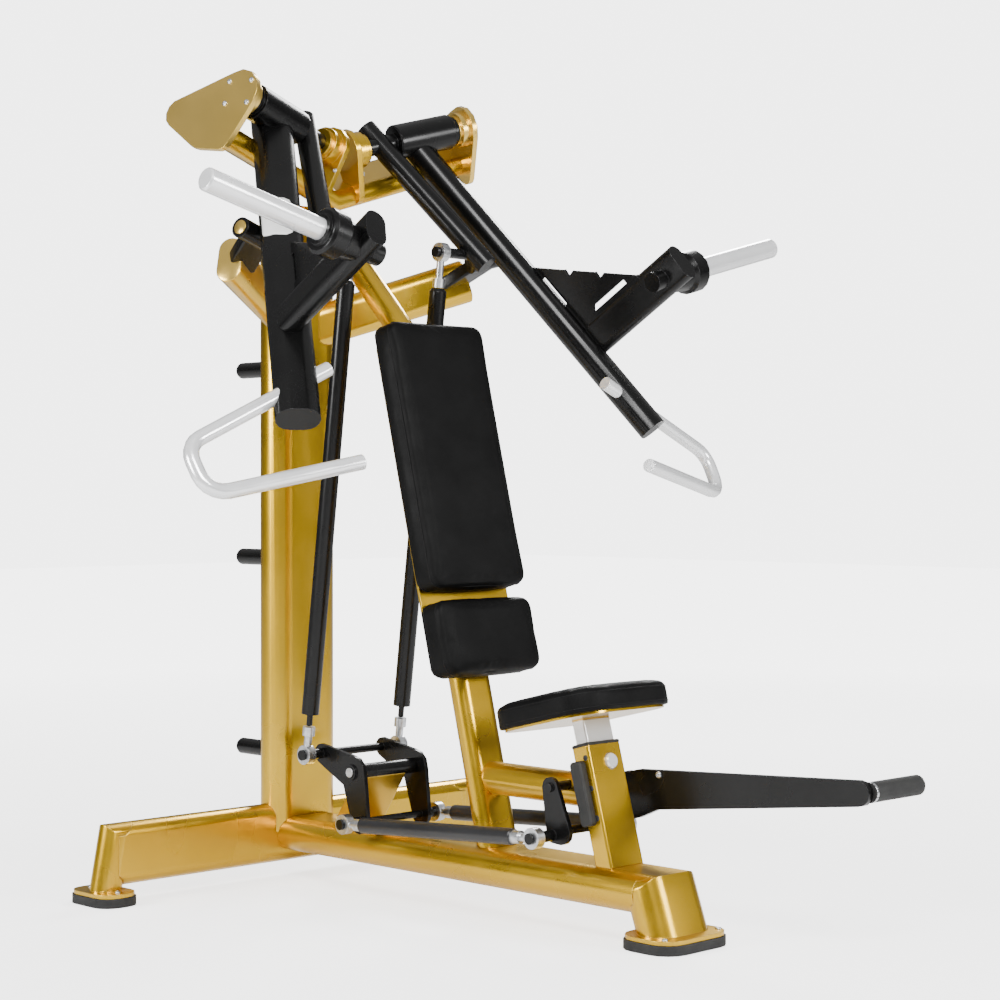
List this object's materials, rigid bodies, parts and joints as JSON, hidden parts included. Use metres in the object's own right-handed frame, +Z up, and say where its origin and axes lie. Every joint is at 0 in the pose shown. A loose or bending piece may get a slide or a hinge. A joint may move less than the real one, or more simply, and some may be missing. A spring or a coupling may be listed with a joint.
{
  "type": "chest press machine",
  "caption": "Plate-loaded chest press with independent overhead-pivoted press arms, a reclined back pad, a height-adjustable seat, and a foot pedal that starts the arms through a linkage.",
  "frame": {"origin": "middle of the bounding box on the floor", "axes": "X to the user's left, Y from the user's feet back to the column, Z up; the user sits facing -Y"},
  "size_m": [1.8244, 1.946, 1.9765],
  "materials": {
    "gold_paint": "glossy metallic gold powder coat",
    "black_paint": "semi-gloss black powder coat",
    "chrome": "bright chrome plate",
    "zinc": "zinc-plated rod ends",
    "rubber": "matt black rubber",
    "leatherette": "fine-grained black artificial leather"
  },
  "bodies": {
    "frame": {"rear_crossbeam": "gold_paint", "main_beam": "gold_paint", "column": "gold_paint", "rear_foot_left": "gold_paint", "rear_foot_right": "gold_paint", "rear_foot_pad_left": "rubber", "rear_foot_pad_right": "rubber", "front_foot": "gold_paint", "front_foot_pad": "rubber", "storage_peg_bottom": "black_paint", "storage_peg_middle": "black_paint", "storage_peg_top": "black_paint", "upper_crossbeam": "gold_paint", "lower_crossbeam": "gold_paint", "outer_bearing_plate_left": "gold_paint", "outer_bearing_plate_right": "gold_paint", "inner_bearing_plate_left": "gold_paint", "inner_bearing_plate_right": "gold_paint", "arm_rest_left": "black_paint", "arm_rest_right": "black_paint", "backrest_tube": "gold_paint", "backrest_strut": "gold_paint", "back_pad": "leatherette", "lower_back_pad": "leatherette", "back_plate": "gold_paint", "seat_support_tube": "gold_paint", "seat_post": "gold_paint", "rocker_stand": "gold_paint", "rocker_bearing_tube": "black_paint"},
    "arm_left": {"arm_hub_left": "black_paint", "arm_tube_left": "black_paint", "start_lever_left": "black_paint", "horn_bracket_left": "black_paint", "loading_horn_left": "chrome", "plate_stop_left": "black_paint", "handle_left": "chrome"},
    "upper_rod_end_left": {"push_rod_upper_end_left": "zinc"},
    "rod_sleeve_left": {"push_rod_sleeve_left": "black_paint"},
    "inner_rod_left": {"push_rod_inner_left": "black_paint"},
    "lower_rod_end_left": {"push_rod_lower_end_left": "zinc"},
    "link_left": {"link_rod_left": "black_paint"},
    "arm_right": {"arm_hub_right": "black_paint", "arm_tube_right": "black_paint", "start_lever_right": "black_paint", "horn_bracket_right": "black_paint", "loading_horn_right": "chrome", "plate_stop_right": "black_paint", "handle_right": "chrome"},
    "upper_rod_end_right": {"push_rod_upper_end_right": "zinc"},
    "rod_sleeve_right": {"push_rod_sleeve_right": "black_paint"},
    "inner_rod_right": {"push_rod_inner_right": "black_paint"},
    "lower_rod_end_right": {"push_rod_lower_end_right": "zinc"},
    "link_right": {"link_rod_right": "black_paint"},
    "rocker": {"rocker": "black_paint"},
    "pedal": {"pedal_crank": "black_paint", "pedal_lever": "black_paint", "foot_grip": "rubber"},
    "seat": {"seat_slider": "chrome", "seat_pad": "leatherette"},
    "seat_lock": {"seat_lock_knob": "chrome"}
  },
  "joints": [
    {"name": "pedal_press", "type": "hinge", "parent": "frame", "child": "pedal", "pos_m": [0, -0.251, 0.322], "axis": [1, 0, 0], "range_deg": [0, 16], "stiffness_Nm_per_rad": 60, "springref_deg": -28.65},
    {"name": "rocker_turn", "type": "hinge", "parent": "frame", "child": "rocker", "pos_m": [0, 0.405, 0.296], "axis": [1, 0, 0], "range_deg": [-0.5, 15]},
    {"name": "seat_height", "type": "slide", "parent": "frame", "child": "seat", "axis": [0, 0.2672, 0.9636], "range_m": [0, 0.12]},
    {"name": "seat_lock_pull", "type": "slide", "parent": "frame", "child": "seat_lock", "axis": [0, -0.9636, 0.2672], "range_m": [0, 0.008], "stiffness_N_per_m": 900, "springref_m": -0.004},
    {"name": "arm_press_left", "type": "hinge", "parent": "frame", "child": "arm_left", "pos_m": [0.23709, 0.53058, 1.88454], "axis": [-0.9484, 0.1897, -0.2542], "range_deg": [0, 30]},
    {"name": "upper_rod_end_turn_left", "type": "hinge", "parent": "arm_left", "child": "upper_rod_end_left", "pos_m": [0.15, 0.359, 1.57], "axis": [0.9514, -0.2261, 0.2092], "range_deg": [-0.5, 36]},
    {"name": "rod_sleeve_lean_left", "type": "hinge", "parent": "upper_rod_end_left", "child": "rod_sleeve_left", "pos_m": [0.15, 0.37029, 1.48273], "axis": [1, 0, 0], "range_deg": [-1, 0.5]},
    {"name": "lower_rod_end_turn_left", "type": "hinge", "parent": "rocker", "child": "lower_rod_end_left", "pos_m": [0.15, 0.519, 0.333], "axis": [1, 0, 0], "range_deg": [-15, 0.5]},
    {"name": "inner_rod_lean_left", "type": "hinge", "parent": "lower_rod_end_left", "child": "inner_rod_left", "pos_m": [0.15, 0.51002, 0.40242], "axis": [0.8773, -0.476, -0.0616], "range_deg": [-0.5, 6]},
    {"name": "link_turn_left", "type": "hinge", "parent": "rocker", "child": "link_left", "pos_m": [0.15, 0.376, 0.179], "axis": [1, 0, 0], "range_deg": [-15, 0.5]},
    {"name": "arm_press_right", "type": "hinge", "parent": "frame", "child": "arm_right", "pos_m": [-0.23709, 0.53058, 1.88454], "axis": [-0.9484, -0.1897, 0.2542], "range_deg": [0, 30]},
    {"name": "upper_rod_end_turn_right", "type": "hinge", "parent": "arm_right", "child": "upper_rod_end_right", "pos_m": [-0.15, 0.359, 1.57], "axis": [0.9514, 0.2261, -0.2092], "range_deg": [-0.5, 36]},
    {"name": "rod_sleeve_lean_right", "type": "hinge", "parent": "upper_rod_end_right", "child": "rod_sleeve_right", "pos_m": [-0.15, 0.37029, 1.48273], "axis": [1, 0, 0], "range_deg": [-1, 0.5]},
    {"name": "lower_rod_end_turn_right", "type": "hinge", "parent": "rocker", "child": "lower_rod_end_right", "pos_m": [-0.15, 0.519, 0.333], "axis": [1, 0, 0], "range_deg": [-15, 0.5]},
    {"name": "inner_rod_lean_right", "type": "hinge", "parent": "lower_rod_end_right", "child": "inner_rod_right", "pos_m": [-0.15, 0.51002, 0.40242], "axis": [0.8773, 0.476, 0.0616], "range_deg": [-0.5, 6]},
    {"name": "link_turn_right", "type": "hinge", "parent": "rocker", "child": "link_right", "pos_m": [-0.15, 0.376, 0.179], "axis": [1, 0, 0], "range_deg": [-15, 0.5]}
  ],
  "couplings": [
    {"joint": "rocker_turn", "follows": "pedal_press", "ratio": 0.8719},
    {"joint": "upper_rod_end_turn_left", "follows": "arm_press_left", "ratio": 1.1533},
    {"joint": "rod_sleeve_lean_left", "follows": "pedal_press", "ratio": -0.0272},
    {"joint": "lower_rod_end_turn_left", "follows": "pedal_press", "ratio": -0.8956},
    {"joint": "inner_rod_lean_left", "follows": "arm_press_left", "ratio": 0.174},
    {"joint": "link_turn_left", "follows": "pedal_press", "ratio": -0.9017},
    {"joint": "upper_rod_end_turn_right", "follows": "arm_press_right", "ratio": 1.1533},
    {"joint": "rod_sleeve_lean_right", "follows": "pedal_press", "ratio": -0.0272},
    {"joint": "lower_rod_end_turn_right", "follows": "pedal_press", "ratio": -0.8956},
    {"joint": "inner_rod_lean_right", "follows": "arm_press_right", "ratio": 0.174},
    {"joint": "link_turn_right", "follows": "pedal_press", "ratio": -0.9017}
  ]
}
